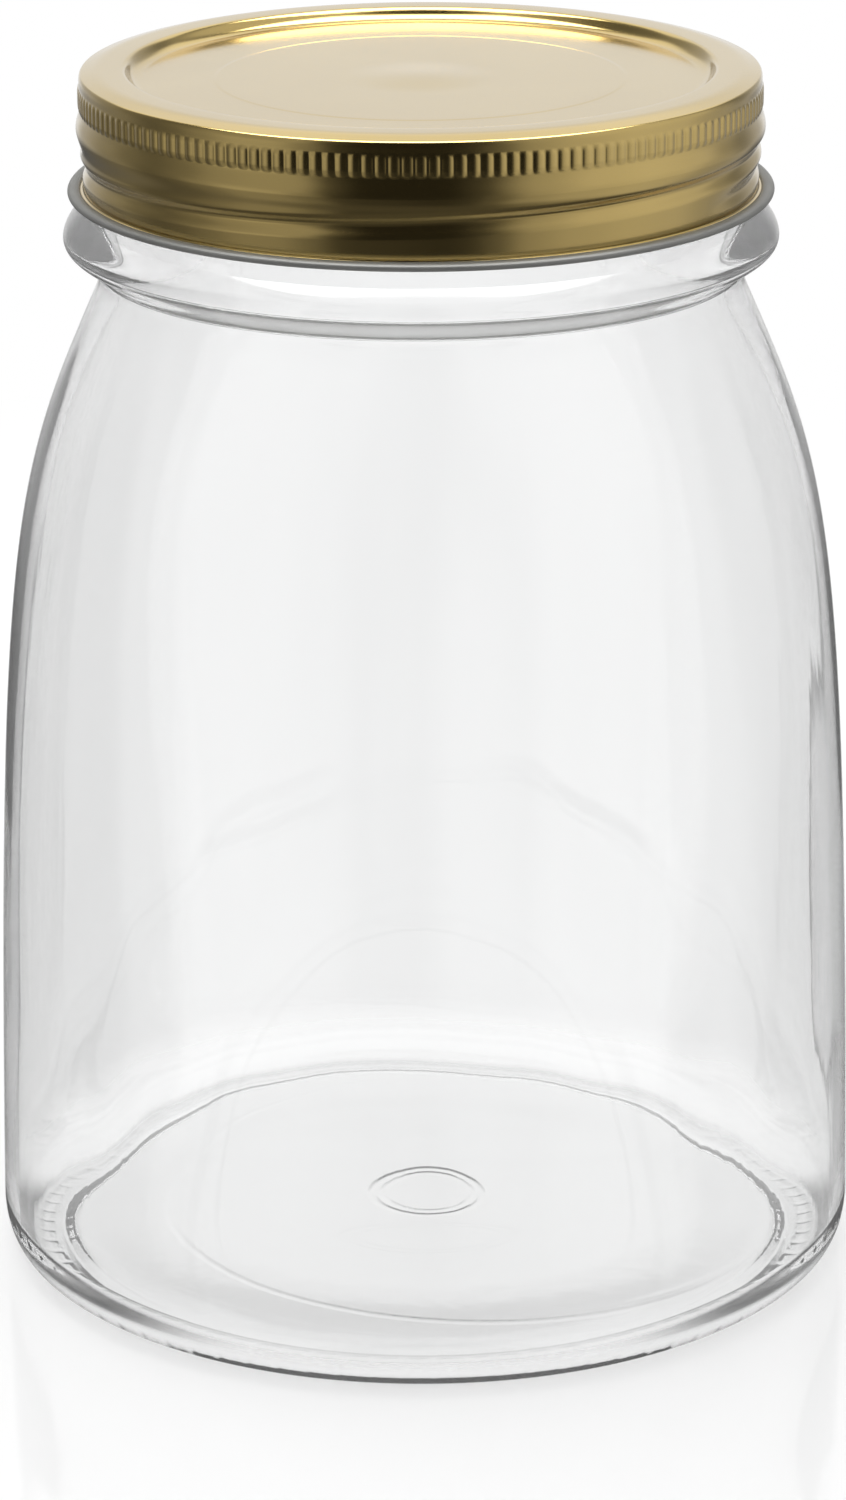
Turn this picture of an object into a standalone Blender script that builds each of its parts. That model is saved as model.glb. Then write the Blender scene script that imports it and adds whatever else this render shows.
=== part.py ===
"""A one-litre preserving jar of clear glass with a gold screw lid of lacquered tinplate.

Three separate pieces, all turned about the Z axis, which is also the lid's screw axis:

glass_jar     thick pressed glass: foot ring and push-up, rounded heel, a body that tapers slightly,
              a soft shoulder, a neck under a heavy bead, and a mouth with a two-start thread
sealing_ring  the flat rubbery ring that lies between the jar's rim and the lid
screw_lid     one thin sheet: sunk panel, raised rim channel, knurled band, bulge, two rolled thread
              grooves, and an edge that curls outward

Lengths are in metres, +Z is up, the jar stands on z = 0 and its front faces -Y. Outlines are lists
of (radius, height) points in the half plane to the right of the axis.
"""
import math

import bmesh
import bpy

# What pieces share
GAP = 0.0003
MERGE = 0.00001
FULL_TURN = math.tau
SHARP_ANGLE = math.radians(40)

# Glass: overall
RIM_HEIGHT = 0.15895
BODY_RADIUS = 0.05750
WALL = 0.0033
JAR_SEGMENTS = 52

# Glass: foot, push-up and heel
FOOT_WIDTH = 0.0022
PUSH_UP = 0.0032
RECESS_EDGE = 0.0008
RECESS_SLOPE = 0.0012
RECESS_PULL = 0.0014
HEEL_WIDTH = 0.0070
HEEL_HEIGHT = 0.0070
HEEL_PULL = 0.0054
HEEL_RISE_PULL = 0.0048

# Glass: heel and floor of the inside, thinner than the wall where the glass was blown furthest
HEEL_WALL = 0.0021
FLOOR_THICKNESS = 0.0030
FLOOR_EDGE_THICKNESS = 0.0021
FLOOR_FALL_POWER = 4
FLOOR_POINT_SHARES = (0.86, 0.60)
FLOOR_FILLET = 0.0040
FILLET_PULL_SHARE = 0.58

# Glass: body and shoulder
SHOULDER_SLOPE_SHARE = 0.44
SHOULDER_PULL = 0.0230
BODY_SLOPE_SHARE = 0.0170
BODY_PULL = 0.0940

# Glass: neck and bead, out from the mouth's wall and down from the rim
NECK_INSET = 0.00015
NECK_FLARE = 0.00128
NECK_FLARE_HEIGHT = 0.0044
NECK_PULL = 0.0016
BEAD_DROP = 0.02005
BEAD_REACH = 0.00437
BEAD_UNDER_HEIGHT = 0.0045
BEAD_UNDER_PULL = 0.0019
BEAD_OVER_PULL = 0.0021
BEAD_RISE = 0.0059
BEAD_TOP_PULL = 0.0015

# Glass: mouth
FINISH_RADIUS = 0.0419
RIM_OUTER_FILLET = 0.0014
RIM_INNER_FILLET = 0.0012

# Thread: two starts on one right-hand helix, whose height is stated at the front
THREAD_STARTS = 2
THREAD_LEAD = 0.00635
THREAD_REACH = 0.0014
THREAD_BITE = 0.0004
THREAD_CLEARANCE = 0.00025
THREAD_DROP = 0.0078
GLASS_THREAD_WIDTH = 0.0022
LID_THREAD_WIDTH = 0.0025
FLANK_SHARE = 0.47
GLASS_THREAD_FROM = math.radians(-75)
GLASS_THREAD_SWEEP = math.radians(235)
LID_THREAD_FROM = math.radians(-125)
LID_THREAD_SWEEP = math.radians(225)
THREAD_FADE = math.radians(28)

# Sealing ring
RING_THICKNESS = 0.0009
RING_INSET = 0.0003
RING_OVERHANG = 0.0002
RING_BEVEL = 0.0002
RING_SEGMENTS = 36

# Lid: sheet, panel and channel
SHEET = 0.00025
PANEL_CLEARANCE = 0.00275
PANEL_DEPTH = 0.00165
STEP_WIDTH = 0.0027
STEP_LOW_PULL_SHARE = 0.80
STEP_HIGH_PULL_SHARE = 0.42
BUTTON_RADIUS = 0.0260
BUTTON_RISE = 0.00012
BUTTON_SLOPE = 0.0026
DOME_RADIUS = 0.0100
DOME_RISE = 0.0003

# Lid: shoulder, knurled band and skirt, with heights counted down from the lid's top
LID_SHOULDER = 0.0020
KNURL_DROP = 0.0022
KNURL_LENGTH = 0.0032
KNURL_RUN_OUT = 0.0004
KNURL_DEPTH = 0.0002
KNURL_COUNT = 170
POINTS_PER_FACET = 5
BULGE_DROP = 0.0075
BULGE_REACH = 0.0026
BULGE_RISE = 0.0005
SKIRT_ROWS = 10

# Lid: curled edge
LID_DIP = 0.00045
CURL_WIDTH = 0.0020
CURL_HEIGHT = 0.00115
CURL_POINTS = 5
CURL_FROM = math.radians(72)
CURL_TO = math.radians(-150)

# Worked out: heights
BASE_TOP = PUSH_UP + FLOOR_THICKNESS
BEAD_HEIGHT = RIM_HEIGHT - BEAD_DROP
BEAD_TOP = BEAD_HEIGHT + BEAD_RISE
NECK_HEIGHT = BEAD_HEIGHT - BEAD_UNDER_HEIGHT
SHOULDER_HEIGHT = NECK_HEIGHT - NECK_FLARE_HEIGHT
RING_BOTTOM = RIM_HEIGHT + GAP
RING_TOP = RING_BOTTOM + RING_THICKNESS
LID_TOP = RING_TOP + GAP + SHEET
LID_BASE = BEAD_TOP - LID_DIP
CURL_TOP = LID_BASE + CURL_HEIGHT
THREAD_SEAT = (GLASS_THREAD_WIDTH + LID_THREAD_WIDTH) / 2 * FLANK_SHARE + GAP
GLASS_THREAD_HEIGHT = RIM_HEIGHT - THREAD_DROP
LID_THREAD_HEIGHT = GLASS_THREAD_HEIGHT - THREAD_SEAT

# Worked out: radii
FOOT_RADIUS = BODY_RADIUS - HEEL_WIDTH
NECK_RADIUS = FINISH_RADIUS - NECK_INSET
SHOULDER_RADIUS = NECK_RADIUS + NECK_FLARE
BEAD_RADIUS = FINISH_RADIUS + BEAD_REACH
THREAD_RADIUS = FINISH_RADIUS + THREAD_REACH
BORE_RADIUS = NECK_RADIUS - WALL
BAND_BORE = THREAD_RADIUS + THREAD_CLEARANCE
BAND_RADIUS = BAND_BORE + SHEET
KNURL_RADIUS = BAND_RADIUS + KNURL_DEPTH
GROOVE_DEPTH = THREAD_CLEARANCE + THREAD_BITE
PANEL_RADIUS = BORE_RADIUS - PANEL_CLEARANCE
LID_SEGMENTS = 2 * KNURL_COUNT // POINTS_PER_FACET


def straight(start, end, pieces):
    """Points on a straight line from start to end, without start."""
    points = []
    for index in range(1, pieces + 1):
        share = index / pieces
        radius = start[0] + (end[0] - start[0]) * share
        height = start[1] + (end[1] - start[1]) * share
        points.append((radius, height))
    return points


def bent(start, start_pull, end_pull, end, pieces):
    """Points on a cubic curve from start to end, drawn towards the two pulls, without start."""
    points = []
    for index in range(1, pieces + 1):
        near = index / pieces
        far = 1 - near
        weights = (far ** 3, 3 * far ** 2 * near, 3 * far * near ** 2, near ** 3)
        controls = (start, start_pull, end_pull, end)
        radius = sum(weight * point[0] for weight, point in zip(weights, controls))
        height = sum(weight * point[1] for weight, point in zip(weights, controls))
        points.append((radius, height))
    return points


def rounded(start, corner, end, pieces):
    """Points on a quarter round from start to end that would meet square at the corner."""
    points = []
    for index in range(1, pieces + 1):
        turn = index / pieces * math.pi / 2
        towards_end = 1 - math.cos(turn)
        towards_corner = math.sin(turn)
        radius = start[0] + (corner[0] - start[0]) * towards_corner + (end[0] - corner[0]) * towards_end
        height = start[1] + (corner[1] - start[1]) * towards_corner + (end[1] - corner[1]) * towards_end
        points.append((radius, height))
    return points


def moved_inward(points, wall):
    """The points of an outline that runs up an outer side, moved square to it into the material."""
    moved = []
    last = len(points) - 1
    for index, (radius, height) in enumerate(points):
        before = points[max(index - 1, 0)]
        after = points[min(index + 1, last)]
        run = after[0] - before[0]
        rise = after[1] - before[1]
        length = math.hypot(run, rise)
        moved.append((radius - wall * rise / length, height + wall * run / length))
    return moved


def thread_ridge(angle, height, front_height, width, first_angle, sweep):
    """How much of its full height, from 0 to 1, a thread has at this angle from the front.

    Each start climbs THREAD_LEAD in a turn, has a cosine-squared section and fades out at both ends.
    """
    most = 0.0
    for start in range(THREAD_STARTS):
        start_angle = first_angle + FULL_TURN * start / THREAD_STARTS
        run = (angle - start_angle) % FULL_TURN
        if run > sweep:
            continue
        middle = front_height + THREAD_LEAD * (first_angle + run) / FULL_TURN
        offset = abs(height - middle) / (width / 2)
        if offset > 1:
            continue
        fade = math.sin(min(1.0, min(run, sweep - run) / THREAD_FADE) * math.pi / 2)
        most = max(most, fade * math.cos(offset * math.pi / 2) ** 2)
    return most


def press_threads(mesh, low, high, inner_radius, relief, front_height, width, first_angle, sweep):
    """Move the points of a turned skin in or out by relief where the thread runs over them."""
    for vert in mesh.verts:
        radius = math.hypot(vert.co.x, vert.co.y)
        if radius < inner_radius or not low <= vert.co.z <= high:
            continue
        angle = math.atan2(vert.co.x, -vert.co.y)
        ridge = thread_ridge(angle, vert.co.z, front_height, width, first_angle, sweep)
        scale = (radius + relief * ridge) / radius
        vert.co.x *= scale
        vert.co.y *= scale


def turned(outline, segments, closed=False):
    """Spin an outline about Z into one closed skin; points on the axis become one point."""
    mesh = bmesh.new()
    verts = [mesh.verts.new((radius, 0, height)) for radius, height in outline]
    for first, second in zip(verts, verts[1:]):
        mesh.edges.new((first, second))
    if closed:
        mesh.edges.new((verts[-1], verts[0]))
    bmesh.ops.spin(
        mesh,
        geom=mesh.verts[:] + mesh.edges[:],
        cent=(0, 0, 0),
        axis=(0, 0, 1),
        dvec=(0, 0, 0),
        angle=FULL_TURN,
        steps=segments,
        use_merge=True,
    )
    bmesh.ops.remove_doubles(mesh, verts=mesh.verts, dist=MERGE)
    return mesh


def material(name, colour, roughness, metallic, transmission=0.0, refraction=1.5):
    """A plain Principled material."""
    made = bpy.data.materials.new(name)
    made.use_nodes = True
    shader = made.node_tree.nodes["Principled BSDF"]
    shader.inputs["Base Color"].default_value = (*colour, 1.0)
    shader.inputs["Roughness"].default_value = roughness
    shader.inputs["Metallic"].default_value = metallic
    shader.inputs["Transmission Weight"].default_value = transmission
    shader.inputs["IOR"].default_value = refraction
    return made


def finished(name, mesh, surface):
    """Turn a skin into a smooth-shaded object with its own material."""
    bmesh.ops.triangulate(mesh, faces=mesh.faces[:])
    bmesh.ops.recalc_face_normals(mesh, faces=mesh.faces[:])
    data = bpy.data.meshes.new(name)
    mesh.to_mesh(data)
    mesh.free()
    data.materials.append(surface)
    data.shade_smooth()
    data.set_sharp_from_angle(angle=SHARP_ANGLE)
    made = bpy.data.objects.new(name, data)
    bpy.context.scene.collection.objects.link(made)
    return made


def jar_under_side():
    """Push-up, the slope round it, the flat foot ring and the rounded heel, from the axis outward."""
    foot_inside = FOOT_RADIUS - FOOT_WIDTH
    recess_radius = foot_inside - RECESS_SLOPE
    heel_end = (BODY_RADIUS, HEEL_HEIGHT)
    points = [(0, PUSH_UP)]
    points += bent((0, PUSH_UP), (recess_radius / 2, PUSH_UP), (recess_radius, RECESS_EDGE + RECESS_PULL),
                   (recess_radius, RECESS_EDGE), 3)
    points += [(foot_inside, 0), (FOOT_RADIUS, 0)]
    points += bent((FOOT_RADIUS, 0), (FOOT_RADIUS + HEEL_PULL, 0),
                   (BODY_RADIUS, HEEL_HEIGHT - HEEL_RISE_PULL), heel_end, 5)
    return points


def jar_side():
    """Tapering body, shoulder and the fillet into the neck, from the heel up."""
    heel_end = (BODY_RADIUS, HEEL_HEIGHT)
    shoulder = (SHOULDER_RADIUS, SHOULDER_HEIGHT)
    neck = (NECK_RADIUS, NECK_HEIGHT)
    body = bent(heel_end, (BODY_RADIUS - BODY_SLOPE_SHARE * BODY_PULL, HEEL_HEIGHT + BODY_PULL),
                (SHOULDER_RADIUS + SHOULDER_SLOPE_SHARE * SHOULDER_PULL, SHOULDER_HEIGHT - SHOULDER_PULL),
                shoulder, 9)
    fillet = bent(shoulder, (SHOULDER_RADIUS - SHOULDER_SLOPE_SHARE * NECK_PULL, SHOULDER_HEIGHT + NECK_PULL),
                  (NECK_RADIUS, NECK_HEIGHT - NECK_PULL), neck, 3)
    return body + fillet


def jar_bead():
    """The heavy round bead between neck and thread, from the neck up."""
    neck = (NECK_RADIUS, NECK_HEIGHT)
    widest = (BEAD_RADIUS, BEAD_HEIGHT)
    top = (FINISH_RADIUS, BEAD_TOP)
    under = bent(neck, (NECK_RADIUS, NECK_HEIGHT + BEAD_UNDER_PULL),
                 (BEAD_RADIUS, BEAD_HEIGHT - BEAD_UNDER_PULL), widest, 4)
    over = bent(widest, (BEAD_RADIUS, BEAD_HEIGHT + BEAD_OVER_PULL),
                (FINISH_RADIUS + BEAD_TOP_PULL, BEAD_TOP - BEAD_TOP_PULL), top, 4)
    return under + over


def glass_thread_zone():
    """Lowest and highest point that the glass thread reaches."""
    low = GLASS_THREAD_HEIGHT + THREAD_LEAD * GLASS_THREAD_FROM / FULL_TURN - GLASS_THREAD_WIDTH / 2
    high = low + THREAD_LEAD * GLASS_THREAD_SWEEP / FULL_TURN + GLASS_THREAD_WIDTH
    return low, high


def jar_mouth():
    """Threaded wall and rounded rim, from the bead up and over to the bore."""
    low, high = glass_thread_zone()
    outer_edge = RIM_HEIGHT - RIM_OUTER_FILLET
    points = straight((FINISH_RADIUS, low), (FINISH_RADIUS, high), 10)
    points = [(FINISH_RADIUS, low)] + points + [(FINISH_RADIUS, outer_edge)]
    points += rounded((FINISH_RADIUS, outer_edge), (FINISH_RADIUS, RIM_HEIGHT),
                      (FINISH_RADIUS - RIM_OUTER_FILLET, RIM_HEIGHT), 3)
    points += [(BORE_RADIUS + RIM_INNER_FILLET, RIM_HEIGHT)]
    points += rounded((BORE_RADIUS + RIM_INNER_FILLET, RIM_HEIGHT), (BORE_RADIUS, RIM_HEIGHT),
                      (BORE_RADIUS, RIM_HEIGHT - RIM_INNER_FILLET), 3)
    return points


def jar_inside(side):
    """The inner face, from the neck down: one wall inside the outer side, then heel, fillet and floor.

    The floor falls from its middle to its edge by a power of the radius, as the push-up below does.
    """
    inner = moved_inward(side, WALL)
    inner.reverse()
    heel = (BODY_RADIUS - HEEL_WALL, HEEL_HEIGHT)
    edge = (heel[0] - FLOOR_FILLET, FLOOR_EDGE_THICKNESS)
    fall = BASE_TOP - edge[1]
    edge_slope = FLOOR_FALL_POWER * fall / edge[0]
    pull = FLOOR_FILLET * FILLET_PULL_SHARE
    fillet = bent(heel, (heel[0], heel[1] + (edge[1] - heel[1]) * FILLET_PULL_SHARE),
                  (edge[0] + pull, edge[1] - pull * edge_slope), edge, 4)
    floor = []
    for share in FLOOR_POINT_SHARES:
        floor.append((edge[0] * share, BASE_TOP - fall * share ** FLOOR_FALL_POWER))
    return inner + [heel] + fillet + floor + [(0, BASE_TOP)]


def make_jar():
    """The glass, with its threads pressed out of the mouth's wall."""
    side = jar_side()
    outline = jar_under_side() + side + jar_bead() + jar_mouth() + jar_inside(side)
    mesh = turned(outline, JAR_SEGMENTS)
    low, high = glass_thread_zone()
    wall_middle = (BORE_RADIUS + FINISH_RADIUS) / 2
    press_threads(mesh, low, high, wall_middle, THREAD_REACH, GLASS_THREAD_HEIGHT,
                  GLASS_THREAD_WIDTH, GLASS_THREAD_FROM, GLASS_THREAD_SWEEP)
    clear_glass = material("clear_glass", (0.93, 0.95, 0.94), 0.03, 0.0, transmission=1.0, refraction=1.52)
    return finished("glass_jar", mesh, clear_glass)


def make_sealing_ring():
    """A flat washer with broken edges, over the whole width of the rim."""
    inner = BORE_RADIUS + RING_INSET
    outer = FINISH_RADIUS + RING_OVERHANG
    outline = [
        (inner + RING_BEVEL, RING_BOTTOM),
        (outer - RING_BEVEL, RING_BOTTOM),
        (outer, RING_BOTTOM + RING_BEVEL),
        (outer, RING_TOP - RING_BEVEL),
        (outer - RING_BEVEL, RING_TOP),
        (inner + RING_BEVEL, RING_TOP),
        (inner, RING_TOP - RING_BEVEL),
        (inner, RING_BOTTOM + RING_BEVEL),
    ]
    mesh = turned(outline, RING_SEGMENTS, closed=True)
    seal = material("white_seal", (0.82, 0.80, 0.74), 0.55, 0.0)
    return finished("sealing_ring", mesh, seal)


def lid_panel(top, step_sign):
    """Dome, button and panel with the S-shaped step up to the channel, from the axis outward.

    step_sign is 1 on the sheet's upper face and -1 below, where the step keeps one sheet's width.
    """
    panel = top - PANEL_DEPTH
    button = panel + BUTTON_RISE
    shift = SHEET / 2 * (1 - step_sign)
    inner = PANEL_RADIUS + shift
    outer = inner + STEP_WIDTH
    low_pull = STEP_WIDTH * STEP_LOW_PULL_SHARE
    high_pull = STEP_WIDTH * STEP_HIGH_PULL_SHARE
    points = [(0, button + DOME_RISE), (DOME_RADIUS, button), (BUTTON_RADIUS, button)]
    points += [(BUTTON_RADIUS + BUTTON_SLOPE, panel), (inner, panel)]
    points += bent((inner, panel), (inner + low_pull, panel), (outer - high_pull, top), (outer, top), 3)
    return points


def skirt_radius(height):
    """Outer radius of the lid's skirt: a straight band with a soft bulge above the thread."""
    offset = abs(height - (LID_TOP - BULGE_DROP)) / BULGE_REACH
    if offset > 1:
        return BAND_RADIUS
    return BAND_RADIUS + BULGE_RISE * math.cos(offset * math.pi / 2) ** 2


def lid_skirt(inset):
    """The skirt from under the knurls down to the curl, moved in by inset."""
    high = LID_TOP - KNURL_DROP - KNURL_LENGTH - KNURL_RUN_OUT
    heights = [high + (CURL_TOP - high) * row / SKIRT_ROWS for row in range(SKIRT_ROWS + 1)]
    return [(skirt_radius(height) - inset, height) for height in heights]


def lid_curl():
    """The sheet's lower edge, rolled outward into a flattened bead, from outside round to inside."""
    middle = BAND_BORE + CURL_WIDTH / 2
    points = []
    for index in range(CURL_POINTS):
        turn = CURL_FROM + (CURL_TO - CURL_FROM) * index / (CURL_POINTS - 1)
        radius = middle + CURL_WIDTH / 2 * math.cos(turn)
        height = LID_BASE + CURL_HEIGHT / 2 * (1 + math.sin(turn))
        points.append((radius, height))
    return points


def lid_outline():
    """Closed section of the sheet: over the top, down the skirt, round the curl and back up inside."""
    top = LID_TOP
    knurl_top = top - KNURL_DROP
    knurl_bottom = knurl_top - KNURL_LENGTH
    outside = lid_panel(top, 1)
    outside += [(KNURL_RADIUS - LID_SHOULDER, top)]
    outside += rounded((KNURL_RADIUS - LID_SHOULDER, top), (KNURL_RADIUS, top),
                       (KNURL_RADIUS, top - LID_SHOULDER), 3)
    outside += [(KNURL_RADIUS, knurl_top), (KNURL_RADIUS, knurl_bottom)]
    outside += lid_skirt(0)
    band_bore = KNURL_RADIUS - KNURL_DEPTH - SHEET
    under = top - SHEET
    fillet = LID_SHOULDER - SHEET
    inside = lid_panel(under, -1)
    inside += [(band_bore - fillet, under)]
    inside += rounded((band_bore - fillet, under), (band_bore, under), (band_bore, under - fillet), 3)
    inside += [(band_bore, knurl_bottom)]
    inside += lid_skirt(SHEET)
    inside.reverse()
    return outside + lid_curl() + inside


def cut_knurls(mesh):
    """Split the band's two edge rows into a crest and a valley for each knurl."""
    rows = (LID_TOP - KNURL_DROP, LID_TOP - KNURL_DROP - KNURL_LENGTH)
    valley = KNURL_RADIUS - KNURL_DEPTH

    def on_band(vert):
        outside = math.hypot(vert.co.x, vert.co.y) > valley - SHEET / 2
        return outside and any(abs(vert.co.z - row) < MERGE for row in rows)

    band_edges = []
    for edge in mesh.edges:
        first, second = edge.verts
        if on_band(first) and on_band(second) and abs(first.co.z - second.co.z) < MERGE:
            band_edges.append(edge)
    bmesh.ops.subdivide_edges(mesh, edges=band_edges, cuts=POINTS_PER_FACET - 1, use_grid_fill=True)
    step = FULL_TURN / KNURL_COUNT / 2
    for vert in mesh.verts:
        if not on_band(vert):
            continue
        index = round(math.atan2(vert.co.y, vert.co.x) / step)
        radius = KNURL_RADIUS if index % 2 == 0 else valley
        vert.co.x = radius * math.cos(index * step)
        vert.co.y = radius * math.sin(index * step)


def make_lid():
    """The lid's sheet, turned, with its knurls and both thread grooves rolled in."""
    mesh = turned(lid_outline(), LID_SEGMENTS)
    press_threads(mesh, CURL_TOP, LID_TOP - KNURL_DROP - KNURL_LENGTH - KNURL_RUN_OUT, BORE_RADIUS,
                  -GROOVE_DEPTH, LID_THREAD_HEIGHT, LID_THREAD_WIDTH, LID_THREAD_FROM, LID_THREAD_SWEEP)
    cut_knurls(mesh)
    gold = material("gold_lacquer", (0.62, 0.50, 0.29), 0.28, 1.0)
    return finished("screw_lid", mesh, gold)


def main():
    """Clear the scene and make the three pieces."""
    for old in list(bpy.data.objects):
        bpy.data.objects.remove(old, do_unlink=True)
    make_jar()
    make_sealing_ring()
    make_lid()


main()
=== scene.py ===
"""Looks of a one-litre preserving jar of clear glass, closed with a gold screw lid.

Every surface is turned about the Z axis. An angle counts from the front, -Y, towards +X, so a point
at radius r and angle a lies at x = r sin(a), y = -r cos(a). An outline is an array of (radius,
height) rows. A band is an outline turned on a number of equal angles, as two arrays, radii and
heights, of one row for each outline point and one column for each angle. A skin is a stack of bands.
Lengths are in metres.
"""

import math

import bpy
import numpy as np
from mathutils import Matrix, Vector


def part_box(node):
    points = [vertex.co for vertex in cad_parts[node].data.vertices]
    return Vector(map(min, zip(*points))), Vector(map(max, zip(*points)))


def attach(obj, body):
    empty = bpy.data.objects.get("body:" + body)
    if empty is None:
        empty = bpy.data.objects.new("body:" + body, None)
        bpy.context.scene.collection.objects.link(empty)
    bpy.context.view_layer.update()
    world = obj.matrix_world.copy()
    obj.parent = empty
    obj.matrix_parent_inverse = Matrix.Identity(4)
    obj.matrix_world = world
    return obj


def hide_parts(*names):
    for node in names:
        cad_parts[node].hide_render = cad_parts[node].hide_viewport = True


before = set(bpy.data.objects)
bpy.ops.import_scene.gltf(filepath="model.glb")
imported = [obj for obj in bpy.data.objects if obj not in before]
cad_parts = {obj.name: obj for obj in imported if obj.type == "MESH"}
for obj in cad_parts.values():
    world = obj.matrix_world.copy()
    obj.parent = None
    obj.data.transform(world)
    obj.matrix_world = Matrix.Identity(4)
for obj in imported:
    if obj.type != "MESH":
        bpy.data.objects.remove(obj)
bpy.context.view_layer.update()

TURN = 2 * math.pi

# Photograph
CAMERA_PLACE = (-0.00005, -0.6895, 0.3027)
CAMERA_PITCH = 0.32824
CAMERA_ROLL = math.radians(-0.25)
CAMERA_LENS = 130.877

# Sizes that the frame gives
_, JAR_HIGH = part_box("glass_jar")
LID_LOW, LID_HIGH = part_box("screw_lid")
RING_LOW, RING_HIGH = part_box("sealing_ring")
RIM_HEIGHT = JAR_HIGH.z
BODY_RADIUS = JAR_HIGH.x
LID_TOP = LID_HIGH.z
LID_BASE = LID_LOW.z

# Glass: foot, heel and floor
FOOT_RADIUS = 0.0505
FOOT_WIDTH = 0.0022
PUSH_UP = 0.0032
RECESS_EDGE = 0.0008
RECESS_SLOPE = 0.0012
RECESS_PULL = 0.0014
BAR_COUNT = 80
BARS_END = 0.0528
BARS_RUN = 0.0008
BAR_HEIGHT = 0.00008
BAR_WAVE_SHARES = (0.6, 0.95)
HEEL_HEIGHT = 0.0070
HEEL_PULL = 0.0054
HEEL_RISE_PULL = 0.0048
HEEL_WALL = 0.0021
HEEL_THINNING = 0.0280
FLOOR_HEIGHT = 0.0062
FLOOR_EDGE_HEIGHT = 0.0021
FLOOR_FALL_POWER = 4
FLOOR_FILLET = 0.0052
FILLET_PULL_SHARE = 0.58

# Glass: ripple of the inside, as waves round the jar, share of the climb, phase and weight
RIPPLE = 0.00012
RIPPLE_CLIMB = 40
RIPPLE_RUN_OUT_ABOVE = 0.02
RIPPLE_RUN_OUT_BELOW = 0.03
RIPPLE_WAVES = [(3, 1.0, 0.0, 1.0), (5, -1.7, 1.0, 0.7), (11, 0.6, 2.0, 0.4), (23, 0.3, 0.0, 0.25)]

# Glass: streaks, and marks of the mould under the base as middle, radius and share of the relief
STREAKS = 0.10
STREAK_STRETCH = (1, 1, 0.15)
BAFFLE_PLACE = (0.0067, 0.0009, 0)
BAFFLE_RADIUS = 0.0410
VALVE_PLACE = (0.0004, 0.0012, 0)
VALVE_RADIUS = 0.0075
VALVE_INNER_RADIUS = 0.00615
MOULD_MARKS = [(BAFFLE_PLACE, BAFFLE_RADIUS, 0.17), (VALVE_PLACE, VALVE_RADIUS, 0.45),
               (VALVE_PLACE, VALVE_INNER_RADIUS, 0.3)]
MARK_WIDTH = 0.0008
MARKS_END = (0.0035, 0.0040)

# Glass: opacity at the heel, and how much less it is in the body and again in the neck
HEEL_ALPHA = 0.972
BODY_ALPHA_LOSS = 0.022
BODY_ALPHA_RUN = (0.005, 0.012)
NECK_ALPHA_LOSS = 0.03
NECK_ALPHA_RUN = (0.128, 0.136)

# Glass: body, shoulder, neck and bead
WALL = 0.0033
SHOULDER_HEIGHT = 0.1300
SHOULDER_RADIUS = 0.04303
SHOULDER_SLOPE = 0.44
SHOULDER_PULL = 0.0230
BODY_SLOPE = 0.0170
BODY_PULL = 0.0940
NECK_HEIGHT = 0.1344
NECK_RADIUS = 0.04175
NECK_PULL = 0.0016
BEAD_HEIGHT = 0.1389
BEAD_RADIUS = 0.04627
BEAD_TOP = 0.1448
BEAD_UNDER_PULL = 0.0019
BEAD_OVER_PULL = 0.0021
BEAD_TOP_PULL = 0.0015
FINISH_RADIUS = 0.0419
BORE_RADIUS = NECK_RADIUS - WALL
RIM_OUTER_FILLET = 0.0014
RIM_INNER_FILLET = 0.0012

# Thread: two starts on one right-hand helix, whose height is stated at the front
THREAD_STARTS = 2
THREAD_LEAD = 0.00635
THREAD_FADE = math.radians(28)
GLASS_THREAD_RELIEF = 0.0014
GLASS_THREAD_HEIGHT = 0.15115
GLASS_THREAD_WIDTH = 0.0022
GLASS_THREAD_FROM = math.radians(-75)
GLASS_THREAD_SWEEP = math.radians(235)
GROOVE_DEPTH = 0.00060
GROOVE_HEIGHT = 0.1497455
GROOVE_WIDTH = 0.0033
GROOVE_FROM = math.radians(-125)
GROOVE_SWEEP = math.radians(225)

# Lid
SHEET = 0.00025
BAND_RADIUS = 0.0438
RIB_HEIGHT = 0.00018
RIB_COUNT = 170
RIBS_TOP = LID_TOP - 0.0020
RIBS_BOTTOM = LID_TOP - 0.0051
PANEL_RADIUS = 0.0357
PANEL_DEPTH = 0.00165
STEP_WIDTH = 0.0027
STEP_LOW_PULL_SHARE = 0.80
STEP_HIGH_PULL_SHARE = 0.42
BUTTON_RADIUS = 0.0260
BUTTON_RISE = 0.00004
BUTTON_SLOPE = 0.0007
DOME_RADIUS = 0.0100
DOME_RISE = 0.00025
LID_SHOULDER = 0.0020
CREST_RADIUS = 0.0406
CREST_PULL = 0.0012
CORNER_RADIUS = 0.0434
CORNER_DROP = 0.00048
CORNER_SLOPE = 0.24
CORNER_PULL = 0.0003
CORNER_HEIGHT = 0.00095
CORNER_SIDE_PULL = 0.00055
BULGE_DROP = 0.0075
BULGE_REACH = 0.0026
BULGE_RISE = 0.0005
BAND_TAPER = 0.08
CURL_MIDDLE_RADIUS = 0.04455
CURL_HALF_WIDTH = 0.0010
CURL_HALF_HEIGHT = 0.000575
CREVICE_WIDTH = 0.00006
CREVICE_DEPTH = 0.00038
SKIRT_START_DROP = 0.0001
SKIRT_END_DROP = 0.0002

# Lid: ends of the curl's round, in degrees up from its outermost point
CURL_FROM = 128
CURL_TO = -160

# Seal
SEAL_CLEARANCE = 0.0003
SEAT_DEPTH = 0.00008
SEAT_HALF_WIDTH = 0.001

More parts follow.
